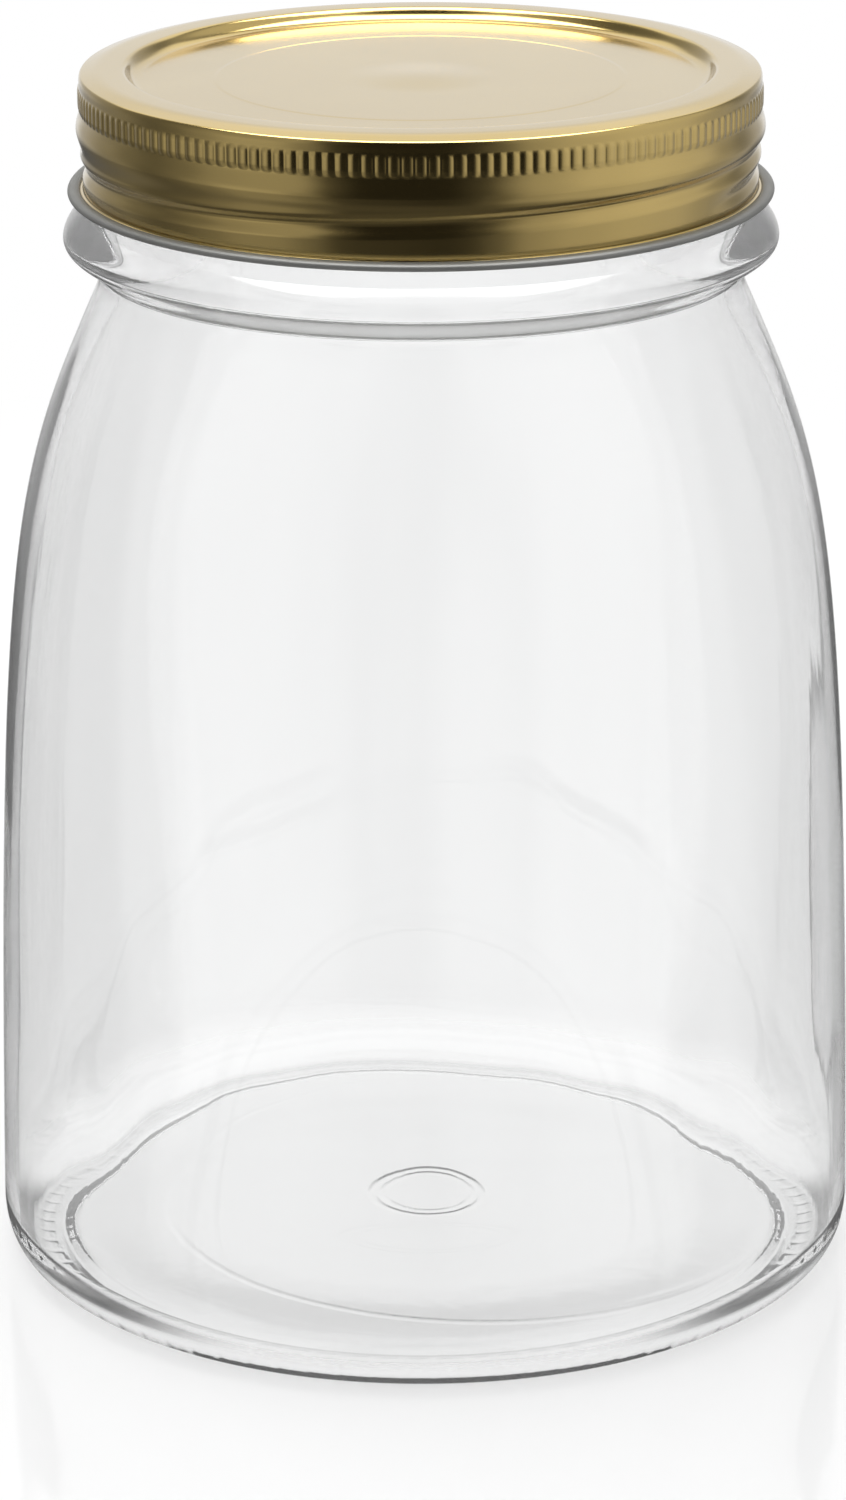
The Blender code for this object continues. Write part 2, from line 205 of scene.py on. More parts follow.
# Studio walls: azimuth in degrees from the front towards +X, and grey, as a reflection sees them
# below and above the horizon, and as what looks through the glass sees them
LOW_ROOM = [(-180, 1.0), (-172, 1.0), (-166, 0.10), (-150, 0.16), (-140, 0.19), (-120, 0.24), (-100, 0.12),
            (-90, 0.16), (-79, 0.28), (-63, 0.47), (-50, 0.46), (-38, 0.26), (-28, 0.035), (-18, 0.015),
            (8, 0.015), (16, 0.035), (26, 0.13), (38, 0.42), (54, 0.57), (78, 0.66), (96, 0.63), (112, 0.46),
            (119, 0.42), (138, 0.42), (150, 0.16), (166, 0.10), (172, 1.0), (180, 1.0)]
HIGH_ROOM = [(-180, 0.85), (-165, 0.85), (-150, 0.45), (-128, 0.30), (-112, 0.18), (-98, 0.13), (-84, 0.20),
             (-71, 0.33), (-55, 0.38), (-41, 0.38), (-30, 0.06), (-20, 0.012), (10, 0.012), (20, 0.05),
             (40, 0.46), (62, 0.66), (83, 0.70), (107, 0.62), (120, 0.35), (130, 0.22), (150, 0.45),
             (165, 0.85), (180, 0.85)]
THROUGH_ROOM = [(-180, 0.90), (-178, 0.95), (-176, 0.97), (-174, 0.95), (-170, 0.87), (-163, 0.80),
                (-150, 0.72), (-144, 0.70), (-142.5, 0.10), (-141, 0.97), (-120, 1.0),
                (120, 1.0), (141, 0.97), (142.5, 0.10), (144, 0.70), (150, 0.74), (163, 0.80),
                (170, 0.88), (174, 0.95), (178, 0.96), (180, 0.90)]
FLOOR_GREY = 0.08
OVERHEAD = 5.6
BACK_WALL = 1.05
FILL_GREY = 0.75

# Studio: where one zone fades into the next, as parts of a unit direction to the front, right or up,
# and how much of a zone there is
OFF_THE_BACK = (-0.75, -0.45)
BACK_HORIZON = (-0.29, -0.13)
HORIZON = (-0.15, 0.10)
UNDER_HORIZON = (-0.275, -0.24)
SHADE_SIDES = (-0.3, 0.3)
LEFT_SHADE = 0.46
RIGHT_SHADE = 0.16
NEAR_FLOOR = (-0.75, -0.60)
OVERHEAD_FROM = (0.76, 0.80)
OVERHEAD_BACK = (-0.36, -0.28)
OVERHEAD_FRONT = (0.40, 0.56)
BACK_WALL_FROM = (0.36, 0.55)
BACK_WALL_END = (-0.60, -0.45)
THROUGH_HIGH = (-0.24, -0.12)
THROUGH_HIGH_SHARE = 0.75
THROUGH_LOW = (-0.52, -0.40)
THROUGH_LOW_SHARE = 0.9

# Studio: lamp, and table with the radii where it fades at its edge, where it is clear through the glass,
# and where a painted contact shadow darkens it through the glass. SHADOW_SIDES is a range of x squared, and
# SHADOW_BACK one of y.
LAMP_PLACE = (-0.1, 0.15, 0.95)
LAMP_SIZE = 0.6
LAMP_POWER = 4.0
TABLE_MIDDLE = (0, 0.10, 0)
TABLE_RADIUS = 0.36
TABLE_POINTS = 96
TABLE_FADE = (0.18, 0.34)
CLEAR_UNDER_JAR = (0.053, 0.058)
CLEAR_SHARE = 0.75
CLEAR_BESIDE_JAR = (0.062, 0.090)
SHADOW_FROM = (0.0538, 0.0554)
SHADOW_TO = (0.0600, 0.0625)
SHADOW_SIDES = (0.0005, 0.0020)
SHADOW_BACK = (0.006, 0.022)
SHADOW_SHARE = 0.95

# Materials: range of a noise over which one colour gives way to another
CLOUDS = (0.3, 0.7)

# Fineness: points round each skin
JAR_POINTS = 320
FOOT_POINTS = 640
LID_POINTS = 340
RIB_POINTS = 1360
RING_POINTS = 256


def along(start, end, rows):
    """Points on a straight line: start plus an even share of the way to end, without start."""
    share = np.linspace(0, 1, rows + 1)[1:, None]
    return np.array(start) + share * (np.array(end) - np.array(start))


def bent(start, start_pull, end_pull, end, rows):
    """Points on a cubic Bezier: the four controls weighted by (1-t)^3, 3t(1-t)^2, 3t^2(1-t), t^3."""
    t = np.linspace(0, 1, rows + 1)[1:, None]
    weights = np.hstack([(1 - t) ** 3, 3 * t * (1 - t) ** 2, 3 * t ** 2 * (1 - t), t ** 3])
    return weights @ np.array([start, start_pull, end_pull, end])


def swept(middle, half_width, half_height, first, last, rows):
    """Points on an ellipse: middle plus (half_width cos(t), half_height sin(t)), first to last degrees."""
    t = np.radians(np.linspace(first, last, rows + 1))
    return np.stack([middle[0] + half_width * np.cos(t), middle[1] + half_height * np.sin(t)], axis=1)


def eased(value, low, high):
    """0 below low, 1 above high, and the smooth step 3t^2 - 2t^3 between them."""
    t = np.clip((value - low) / (high - low), 0, 1)
    return t * t * (3 - 2 * t)


def moved_square(outline, distance):
    """An outline moved square to itself, to the right of its direction, by distance."""
    run = np.gradient(outline, axis=0)
    length = np.hypot(run[:, 0], run[:, 1])[:, None]
    return outline + distance * np.stack([run[:, 1], -run[:, 0]], axis=1) / length


def turned(outline, points):
    """Band of an outline: its radii and heights repeated at each of the angles."""
    return np.repeat(outline[:, :1], points, axis=1), np.repeat(outline[:, 1:], points, axis=1)


def angles(points):
    """The angles of a band's columns, from the front round towards +X."""
    return np.arange(points) * TURN / points


def axis_point(height):
    """Band of one point on the axis, which closes a skin."""
    return np.zeros((1, 1)), np.full((1, 1), height)


def threads(angle, height, front_height, width, first_angle, sweep):
    """Share of a thread's full height at an angle and height, from 0 to 1.

    Each start climbs THREAD_LEAD in a turn. Across, it has the section cos^2 of a quarter turn at
    half its width, and at both ends it fades by the sine of a quarter turn over THREAD_FADE.
    """
    most = 0
    for start in range(THREAD_STARTS):
        run = (angle - first_angle - TURN * start / THREAD_STARTS) % TURN
        middle = front_height + THREAD_LEAD * (first_angle + run) / TURN
        offset = np.clip(np.abs(height - middle) / (width / 2), 0, 1)
        fade = np.clip(np.minimum(run, sweep - run) / THREAD_FADE, 0, 1)
        most = np.maximum(most, np.sin(fade * math.pi / 2) * np.cos(offset * math.pi / 2) ** 2)
    return most


def strip(first, first_points, second, second_points):
    """Triangles between two rings, whose points start at vertices first and second.

    One ring has a whole number of times the other's points. Each edge of a ring takes its third
    corner from the other ring: the nearest point, or the point where the nearest one changes.
    """
    first_edge = np.arange(first_points)
    second_edge = np.arange(second_points)
    if first_points >= second_points:
        ratio = first_points // second_points
        above = (first_edge + ratio // 2) // ratio
        below = (second_edge + 1) * ratio - ratio // 2
    else:
        ratio = second_points // first_points
        above = (first_edge + 1) * ratio - ratio // 2
        below = (second_edge + ratio // 2) // ratio
    lower = np.stack([first + first_edge, first + (first_edge + 1) % first_points,
                      second + above % second_points], axis=1)
    upper = np.stack([second + (second_edge + 1) % second_points, second + second_edge,
                      first + below % first_points], axis=1)
    if first_points == 1:
        return upper
    if second_points == 1:
        return lower
    return np.vstack([lower, upper])


def made_skin(name, bands, finishes, closed=False):
    """Mesh object of stacked bands. finishes gives each band's material, by its number.

    With closed set, the last row also joins the first, as on a ring.
    """
    places = []
    rows = []
    start = 0
    for number, (radii, heights) in enumerate(bands):
        points = radii.shape[1]
        angle = angles(points)
        place = np.stack([radii * np.sin(angle), -radii * np.cos(angle), heights], axis=2)
        places.append(place.reshape(-1, 3))
        rows += [(start + row * points, points, number) for row in range(radii.shape[0])]
        start += radii.size
    pairs = list(zip(rows, rows[1:]))
    if closed:
        pairs.append((rows[-1], rows[0]))
    triangles = []
    numbers = []
    for (first, first_points, _), (second, second_points, number) in pairs:
        made = strip(first, first_points, second, second_points)
        triangles.append(made)
        numbers.append(np.full(len(made), number))
    triangles = np.vstack(triangles)
    numbers = np.concatenate(numbers)

    used = sorted({finish.name: finish for finish in finishes}.values(), key=lambda finish: finish.name)
    data = bpy.data.meshes.new(name)
    places = np.vstack(places)
    data.vertices.add(len(places))
    data.vertices.foreach_set("co", places.ravel())
    data.loops.add(triangles.size)
    data.loops.foreach_set("vertex_index", triangles.ravel().astype(np.int32))
    data.polygons.add(len(triangles))
    data.polygons.foreach_set("loop_start", np.arange(0, triangles.size, 3, dtype=np.int32))
    band_material = np.array([used.index(finish) for finish in finishes])
    data.polygons.foreach_set("material_index", band_material[numbers].astype(np.int32))
    data.update(calc_edges=True)
    data.shade_smooth()
    for finish in used:
        data.materials.append(finish)
    piece = bpy.data.objects.new(name, data)
    bpy.context.scene.collection.objects.link(piece)
    return piece


class Signal:
    """A value in a node tree. Arithmetic on it adds Math nodes to the tree."""

    def __init__(self, tree, socket):
        self.tree = tree
        self.socket = socket

    def maths(self, operation, *values):
        """A Math node on the values."""
        return self.tree.node("ShaderNodeMath", {"operation": operation}, dict(enumerate(values)))

    def __add__(self, other):
        return self.maths("ADD", self, other)

    def __sub__(self, other):
        return self.maths("SUBTRACT", self, other)

    def __rsub__(self, other):
        return self.maths("SUBTRACT", other, self)

    def __mul__(self, other):
        return self.maths("MULTIPLY", self, other)

    def __truediv__(self, other):
        return self.maths("DIVIDE", self, other)

    def __neg__(self):
        return self.maths("MULTIPLY", self, -1.0)

    __radd__ = __add__
    __rmul__ = __mul__

    def step(self, low, high):
        """0 where this value is low, 1 where it is high, and a smooth step between."""
        return self.tree.node("ShaderNodeMapRange", {"interpolation_type": "SMOOTHSTEP"},
                              {"Value": self, "From Min": low, "From Max": high})


def plain(grey):
    """Colour of a grey."""
    return grey, grey, grey, 1


def set_stops(ramp, stops):
    """Give a colour ramp its stops: a place and a grey for each."""
    ramp.interpolation = "EASE"
    while len(ramp.elements) < len(stops):
        ramp.elements.new(1.0)
    for element, (place, grey) in zip(ramp.elements, stops):
        element.position = place
        element.color = plain(grey)


class Tree:
    """A node tree that starts empty."""

    def __init__(self, owner):
        owner.use_nodes = True
        self.tree = owner.node_tree
        self.tree.nodes.clear()

    def node(self, kind, settings=None, sockets=None, output=0):
        """Add a node: its settings first, then the values or links of its sockets."""
        made = self.tree.nodes.new(kind)
        for name, value in (settings or {}).items():
            if name == "stops":
                set_stops(made.color_ramp, value)
            else:
                setattr(made, name, value)
        for name, value in (sockets or {}).items():
            if isinstance(value, Signal):
                self.tree.links.new(value.socket, made.inputs[name])
            else:
                made.inputs[name].default_value = value
        return Signal(self, made.outputs[output] if made.outputs else None)

    def mixed(self, share, first, second):
        """Mix of two colours: the first where share is 0, the second where it is 1."""
        return self.node("ShaderNodeMix", {"data_type": "RGBA"}, {0: share, 6: first, 7: second}, 2)

    def clouded(self, clouds, first, second):
        """Mix of two colours by a noise: the first where it is low, the second where it is high."""
        return self.mixed(clouds.step(*CLOUDS), first, second)

    def noise(self, place, scale, detail=2.0):
        """Fractal noise at a place, about 0.5 on average."""
        return self.node("ShaderNodeTexNoise", {}, {"Vector": place, "Scale": scale, "Detail": detail})

    def place(self):
        """Object coordinates, in metres."""
        return self.node("ShaderNodeTexCoord", output="Object")

    def distance(self, place, middle):
        """Distance of a place from a fixed point."""
        return self.node("ShaderNodeVectorMath", {"operation": "DISTANCE"}, {0: place, 1: middle}, "Value")

    def parts(self, vector):
        """The three parts of a vector."""
        split = self.node("ShaderNodeSeparateXYZ", {}, {0: vector})
        return [Signal(self, output) for output in split.socket.node.outputs]


def gold_lacquer():
    """Clear gold lacquer over bright tinplate: a satin base under a thin glossy coat."""
    material = bpy.data.materials.new("gold_lacquer")
    tree = Tree(material)
    place = tree.place()
    clouds = tree.noise(place, 60.0)
    grain = tree.noise(place, 9000.0, detail=3.0)
    bump = tree.node("ShaderNodeBump", {}, {"Strength": 0.12, "Distance": 0.00002, "Height": grain})
    shader = tree.node("ShaderNodeBsdfPrincipled", {}, {
        "Base Color": tree.clouded(clouds, (0.675, 0.495, 0.168, 1), (0.645, 0.47, 0.158, 1)),
        "Metallic": 1.0,
        "Roughness": 0.14 + 0.04 * clouds,
        "Coat Weight": 0.8,
        "Coat Roughness": 0.10,
        "Coat IOR": 1.5,
        "Normal": bump,
    })
    tree.node("ShaderNodeOutputMaterial", {}, {"Surface": shader})
    return material


def silver_lacquer():
    """The curl's outer face: a dark satin grey, half metallic, on the same tinplate."""
    material = bpy.data.materials.new("silver_lacquer")
    tree = Tree(material)
    place = tree.place()
    clouds = tree.noise(place, 90.0)
    grain = tree.noise(place, 7000.0, detail=3.0)
    bump = tree.node("ShaderNodeBump", {}, {"Strength": 0.2, "Distance": 0.00003, "Height": grain})
    shader = tree.node("ShaderNodeBsdfPrincipled", {}, {
        "Base Color": tree.clouded(clouds, (0.24, 0.24, 0.23, 1), (0.21, 0.21, 0.20, 1)),
        "Metallic": 0.5,
        "Roughness": 0.42 + 0.08 * clouds,
        "Normal": bump,
    })
    tree.node("ShaderNodeOutputMaterial", {}, {"Surface": shader})
    return material


def white_enamel():
    """The lid's inside: a white food-safe enamel with a slight orange peel."""
    material = bpy.data.materials.new("white_enamel")
    tree = Tree(material)
    place = tree.place()
    clouds = tree.noise(place, 90.0)
    peel = tree.noise(place, 1500.0)
    bump = tree.node("ShaderNodeBump", {}, {"Strength": 0.15, "Distance": 0.00003, "Height": peel})
    shader = tree.node("ShaderNodeBsdfPrincipled", {}, {
        "Base Color": tree.clouded(clouds, (0.93, 0.93, 0.91, 1), (0.90, 0.90, 0.88, 1)),
        "Roughness": 0.32 + 0.08 * clouds,
        "Normal": bump,
    })
    tree.node("ShaderNodeOutputMaterial", {}, {"Surface": shader})
    return material


def clear_glass():
    """Clear pressed glass: a trace of grey, faint upright streaks, and the mould's marks in the base.

    Its opacity is a little under 1, so that a share of the light trapped in the wall comes out.
    """
    material = bpy.data.materials.new("clear_glass")
    tree = Tree(material)
    place = tree.place()
    upright = tree.node("ShaderNodeVectorMath", {"operation": "MULTIPLY"}, {0: place, 1: STREAK_STRETCH})
    streaks = tree.noise(upright, 260.0)
    _, _, height = tree.parts(place)
    flat = tree.node("ShaderNodeVectorMath", {"operation": "MULTIPLY"}, {0: place, 1: (1, 1, 0)})

    def ring(middle, radius):
        """1 on a thin circle and 0 beside it."""
        away = tree.distance(flat, middle) - radius
        return 1 - away.maths("ABSOLUTE", away).step(0.0, MARK_WIDTH)

    marks = sum(share * ring(middle, radius) for middle, radius, share in MOULD_MARKS)
    relief = STREAKS * streaks + marks * (1 - height.step(*MARKS_END))
    bump = tree.node("ShaderNodeBump", {}, {"Strength": 1.0, "Distance": 0.00012, "Height": relief})
    shader = tree.node("ShaderNodeBsdfPrincipled", {}, {
        "Base Color": (0.985, 0.987, 0.987, 1),
        "Roughness": 0.0,
        "Alpha": HEEL_ALPHA - BODY_ALPHA_LOSS * height.step(*BODY_ALPHA_RUN)
                 - NECK_ALPHA_LOSS * height.step(*NECK_ALPHA_RUN),
        "IOR": 1.52,
        "Transmission Weight": 1.0,
        "Normal": bump,
    })
    tree.node("ShaderNodeOutputMaterial", {}, {"Surface": shader})
    return material


def seal_rubber():
    """Cream sealing compound, matt and a little uneven."""
    material = bpy.data.materials.new("seal_compound")
    tree = Tree(material)
    place = tree.place()
    clouds = tree.noise(place, 300.0)
    bump = tree.node("ShaderNodeBump", {}, {"Strength": 0.3, "Distance": 0.00005, "Height": clouds})
    shader = tree.node("ShaderNodeBsdfPrincipled", {}, {
        "Base Color": tree.clouded(clouds, (0.80, 0.78, 0.72, 1), (0.74, 0.72, 0.66, 1)),
        "Roughness": 0.5 + 0.1 * clouds,
        "Normal": bump,
    })
    tree.node("ShaderNodeOutputMaterial", {}, {"Surface": shader})
    return material


def jar_side(rows):
    """Outline of the body, shoulder and neck fillet, from the heel up."""
    shoulder = (SHOULDER_RADIUS, SHOULDER_HEIGHT)
    body = bent((BODY_RADIUS, HEEL_HEIGHT), (BODY_RADIUS - BODY_SLOPE * BODY_PULL, HEEL_HEIGHT + BODY_PULL),
                (SHOULDER_RADIUS + SHOULDER_SLOPE * SHOULDER_PULL, SHOULDER_HEIGHT - SHOULDER_PULL),
                shoulder, rows)
    fillet = bent(shoulder, (SHOULDER_RADIUS - SHOULDER_SLOPE * NECK_PULL, SHOULDER_HEIGHT + NECK_PULL),
                  (NECK_RADIUS, NECK_HEIGHT - NECK_PULL), (NECK_RADIUS, NECK_HEIGHT), rows=8)
    return np.vstack([body, fillet])


def jar_bead():
    """Outline of the round bead, from the neck up to the mouth's wall."""
    widest = (BEAD_RADIUS, BEAD_HEIGHT)
    under = bent((NECK_RADIUS, NECK_HEIGHT), (NECK_RADIUS, NECK_HEIGHT + BEAD_UNDER_PULL),
                 (BEAD_RADIUS, BEAD_HEIGHT - BEAD_UNDER_PULL), widest, rows=12)
    over = bent(widest, (BEAD_RADIUS, BEAD_HEIGHT + BEAD_OVER_PULL),
                (FINISH_RADIUS + BEAD_TOP_PULL, BEAD_TOP - BEAD_TOP_PULL),
                (FINISH_RADIUS, BEAD_TOP), rows=14)
    return np.vstack([under, over])


def jar_inner():
    """Outline of the inside, from the rim down: a wall's thickness in, then heel, fillet and floor.

    The wall thins towards the heel by the smooth step, and the floor falls by the fourth power of
    its radius.
    """
    side = jar_side(rows=48)
    wall = HEEL_WALL + (WALL - HEEL_WALL) * eased(side[:, 1:], HEEL_HEIGHT, HEEL_HEIGHT + HEEL_THINNING)
    heel = (BODY_RADIUS - HEEL_WALL, HEEL_HEIGHT)
    inner = np.vstack([moved_square(side, -wall)[::-1], [heel]])
    edge = (heel[0] - FLOOR_FILLET, FLOOR_EDGE_HEIGHT)
    fall = FLOOR_HEIGHT - FLOOR_EDGE_HEIGHT
    pull = FLOOR_FILLET * FILLET_PULL_SHARE
    fillet = bent(heel, (heel[0], heel[1] + (edge[1] - heel[1]) * FILLET_PULL_SHARE),
                  (edge[0] + pull, edge[1] - pull * FLOOR_FALL_POWER * fall / edge[0]), edge, rows=16)
    radii = np.linspace(edge[0], 0, 30)[1:-1]
    floor = np.stack([radii, FLOOR_HEIGHT - fall * (radii / edge[0]) ** FLOOR_FALL_POWER], axis=1)
    return np.vstack([inner, fillet, floor])


def rippled(radii, heights):
    """The inside as the blowing left it: its radius varied by a sum of sines of angle and height.

    The ripple fades to nothing at the heel and at the neck.
    """
    angle = angles(radii.shape[1])
    climb = heights * RIPPLE_CLIMB
    wave = sum(weight * np.sin(waves * angle + share * climb + phase)
               for waves, share, phase, weight in RIPPLE_WAVES)
    low = eased(heights, HEEL_HEIGHT, HEEL_HEIGHT + RIPPLE_RUN_OUT_BELOW)
    high = 1 - eased(heights, NECK_HEIGHT - RIPPLE_RUN_OUT_ABOVE, NECK_HEIGHT)
    return radii + RIPPLE * wave * (high * low), heights


def foot_bars(radii, heights):
    """The foot ring's bars: between them the glass lies higher, by a sine of BAR_COUNT waves.

    They run out by the smooth step over BARS_RUN, inwards from FOOT_RADIUS and outwards from BARS_END.
    """
    wave = np.sin(BAR_COUNT * angles(radii.shape[1]))
    inwards = eased(radii, FOOT_RADIUS - BARS_RUN, FOOT_RADIUS)
    outwards = 1 - eased(radii, BARS_END, BARS_END + BARS_RUN)
    return radii, heights + BAR_HEIGHT * (inwards * outwards) * (1 - eased(wave, *BAR_WAVE_SHARES))


def make_jar():
    """The glass: under side, heel, body, bead, threaded mouth, and the uneven inside."""
    foot_inner = FOOT_RADIUS - FOOT_WIDTH
    recess = foot_inner - RECESS_SLOPE
    push_up = bent((0, PUSH_UP), (recess / 2, PUSH_UP), (recess, RECESS_EDGE + RECESS_PULL),
                   (recess, RECESS_EDGE), rows=24)
    foot = np.vstack([along((recess, RECESS_EDGE), (foot_inner, 0), rows=6),
                      along((foot_inner, 0), (FOOT_RADIUS, 0), rows=6),
                      bent((FOOT_RADIUS, 0), (FOOT_RADIUS + HEEL_PULL, 0),
                           (BODY_RADIUS, HEEL_HEIGHT - HEEL_RISE_PULL),
                           (BODY_RADIUS, HEEL_HEIGHT), rows=14)])
    outside = np.vstack([jar_side(rows=44), jar_bead()])
    mouth_rows = along((FINISH_RADIUS, BEAD_TOP), (FINISH_RADIUS, RIM_HEIGHT - RIM_OUTER_FILLET), rows=36)
    rim = np.vstack([
        swept((FINISH_RADIUS - RIM_OUTER_FILLET, RIM_HEIGHT - RIM_OUTER_FILLET), RIM_OUTER_FILLET,
              RIM_OUTER_FILLET, 0, 90, rows=8)[1:],
        swept((BORE_RADIUS + RIM_INNER_FILLET, RIM_HEIGHT - RIM_INNER_FILLET), RIM_INNER_FILLET,
              RIM_INNER_FILLET, 90, 180, rows=8)])
    mouth_radii, mouth_heights = turned(mouth_rows, JAR_POINTS)
    mouth_radii += GLASS_THREAD_RELIEF * threads(angles(JAR_POINTS), mouth_heights, GLASS_THREAD_HEIGHT,
                                                 GLASS_THREAD_WIDTH, GLASS_THREAD_FROM, GLASS_THREAD_SWEEP)
    bands = [
        axis_point(PUSH_UP),
        turned(push_up, JAR_POINTS),
        foot_bars(*turned(foot, FOOT_POINTS)),
        turned(outside, JAR_POINTS),
        (mouth_radii, mouth_heights),
        turned(rim, JAR_POINTS),
        rippled(*turned(jar_inner(), JAR_POINTS)),
        axis_point(FLOOR_HEIGHT),
    ]
    jar = made_skin("jar_glass", bands, [clear_glass()] * len(bands))
    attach(jar, "jar")
    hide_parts("glass_jar")


def panel_height(radius):
    """Height of the lid's sunk panel: a shallow dome on a button, each with a smooth edge."""
    dome = 1 - eased(radius, 0, DOME_RADIUS)
    button = 1 - eased(radius, BUTTON_RADIUS, BUTTON_RADIUS + BUTTON_SLOPE)
    return LID_TOP - PANEL_DEPTH + BUTTON_RISE * button + DOME_RISE * dome


def skirt_outline(high, low, rows):
    """Outline of the skirt: a straight band with a cos^2 bulge above the thread, leaning in below it."""
    heights = np.linspace(high, low, rows)
    offset = np.clip(np.abs(heights - (LID_TOP - BULGE_DROP)) / BULGE_REACH, 0, 1)
    lean = BAND_TAPER * np.clip(GROOVE_HEIGHT - heights, 0, None)
    return np.stack([BAND_RADIUS + BULGE_RISE * np.cos(offset * math.pi / 2) ** 2 - lean, heights], axis=1)


def ribs(angle, height):
    """Share of the ribs' full height: long ovals side by side, each 1 - q^2 across, with round ends."""
    half_length = (RIBS_TOP - RIBS_BOTTOM) / 2
    across = (angle * RIB_COUNT / TURN + 0.5) % 1 * 2 - 1
    half_pitch = BAND_RADIUS * math.pi / RIB_COUNT
    from_middle = np.abs(height - RIBS_BOTTOM - half_length)
    past_end = np.maximum(from_middle - half_length + half_pitch, 0) / half_pitch
    return np.clip(1 - across ** 2 - past_end ** 2, 0, 1)


def make_lid():
    """The lid's sheet: gold outside, white inside and grey round the curl."""
    gold = gold_lacquer()
    grey = silver_lacquer()
    white = white_enamel()
    panel_radii = np.concatenate([np.linspace(0, BUTTON_RADIUS, 22)[1:],
                                  np.linspace(BUTTON_RADIUS, BUTTON_RADIUS + BUTTON_SLOPE, 9)[1:],
                                  np.linspace(BUTTON_RADIUS + BUTTON_SLOPE, PANEL_RADIUS, 8)[1:]])
    panel = np.stack([panel_radii, panel_height(panel_radii)], axis=1)
    step_top = (PANEL_RADIUS + STEP_WIDTH, LID_TOP)
    step = bent(panel[-1], (PANEL_RADIUS + STEP_WIDTH * STEP_LOW_PULL_SHARE, panel[-1][1]),
                (step_top[0] - STEP_WIDTH * STEP_HIGH_PULL_SHARE, LID_TOP), step_top, rows=24)
    crest = (CREST_RADIUS, LID_TOP)
    corner = (CORNER_RADIUS, LID_TOP - CORNER_DROP)
    fall = bent(crest, (crest[0] + CREST_PULL, LID_TOP),
                (corner[0] - CREST_PULL, corner[1] + CREST_PULL * CORNER_SLOPE), corner, rows=8)
    side = (BAND_RADIUS, corner[1] - CORNER_HEIGHT)
    shoulder = bent(corner, (corner[0] + CORNER_PULL, corner[1] - CORNER_PULL * CORNER_SLOPE),
                    (BAND_RADIUS, side[1] + CORNER_SIDE_PULL), side, rows=14)
    below = along(side, (BAND_RADIUS, LID_TOP - LID_SHOULDER), rows=3)
    top = np.vstack([panel, step, along(step_top, crest, rows=2), fall, shoulder, below])
    band = along((BAND_RADIUS, LID_TOP - LID_SHOULDER), (BAND_RADIUS, RIBS_BOTTOM), rows=14)
    curl_top = LID_BASE + 2 * CURL_HALF_HEIGHT
    skirt = skirt_outline(RIBS_BOTTOM - SKIRT_START_DROP, curl_top - SKIRT_END_DROP, rows=46)
    crevice = [(BAND_RADIUS + CREVICE_WIDTH, curl_top - CREVICE_DEPTH)]
    curl = swept((CURL_MIDDLE_RADIUS, LID_BASE + CURL_HALF_HEIGHT), CURL_HALF_WIDTH, CURL_HALF_HEIGHT,
                 CURL_FROM, CURL_TO, rows=24)

    band_radii, band_heights = turned(band, RIB_POINTS)
    band_radii += RIB_HEIGHT * ribs(angles(RIB_POINTS), band_heights)

    def grooved(outline):
        """Band of an outline, drawn in by GROOVE_DEPTH times the share of the thread."""
        radii, heights = turned(outline, LID_POINTS)
        radii -= GROOVE_DEPTH * threads(angles(LID_POINTS), heights, GROOVE_HEIGHT, GROOVE_WIDTH,
                                        GROOVE_FROM, GROOVE_SWEEP)
        return radii, heights

    inner_top = moved_square(top, SHEET)[1::2]
    inner_skirt = skirt_outline(RIBS_TOP, curl_top - SKIRT_END_DROP, rows=40) - np.array([SHEET, 0])
    bands = [
        (axis_point(panel_height(0) - SHEET), white),
        (turned(inner_top, LID_POINTS // 2), white),
        (grooved(inner_skirt), white),
        (turned(curl[::-1], LID_POINTS), grey),
        (turned(np.array(crevice), LID_POINTS), grey),
        (grooved(skirt[::-1]), gold),
        ((band_radii[::-1], band_heights[::-1]), gold),
        (turned(top[::-1], LID_POINTS), gold),
        (axis_point(panel_height(0)), gold),
    ]
    lid = made_skin("lid_sheet", [band for band, _ in bands], [finish for _, finish in bands])
    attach(lid, "lid")
    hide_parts("screw_lid")


def make_seal():
    """The sealing ring, with rounded edges and the rim's shallow seat in it, cos^2 across."""
    inner = BORE_RADIUS + SEAL_CLEARANCE
    outer = RING_HIGH.x
    middle = (inner + outer) / 2
    half = (RING_HIGH.z - RING_LOW.z) / 2
    level = RING_LOW.z + half
    under = along((inner + half, RING_LOW.z), (outer - half, RING_LOW.z), rows=16)
    offset = np.clip((under[:, 0] - middle) / SEAT_HALF_WIDTH, -1, 1)
    under[:, 1] += SEAT_DEPTH * np.cos(offset * math.pi / 2) ** 2
    section = np.vstack([
        under,
        swept((outer - half, level), half, half, -90, 90, rows=10)[1:],
        along((outer - half, RING_HIGH.z), (inner + half, RING_HIGH.z), rows=8),
        swept((inner + half, level), half, half, 90, 270, rows=10)[1:],
    ])
    seal = made_skin("seal_ring", [turned(section, RING_POINTS)], [seal_rubber()], closed=True)
    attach(seal, "seal")
    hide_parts("sealing_ring")


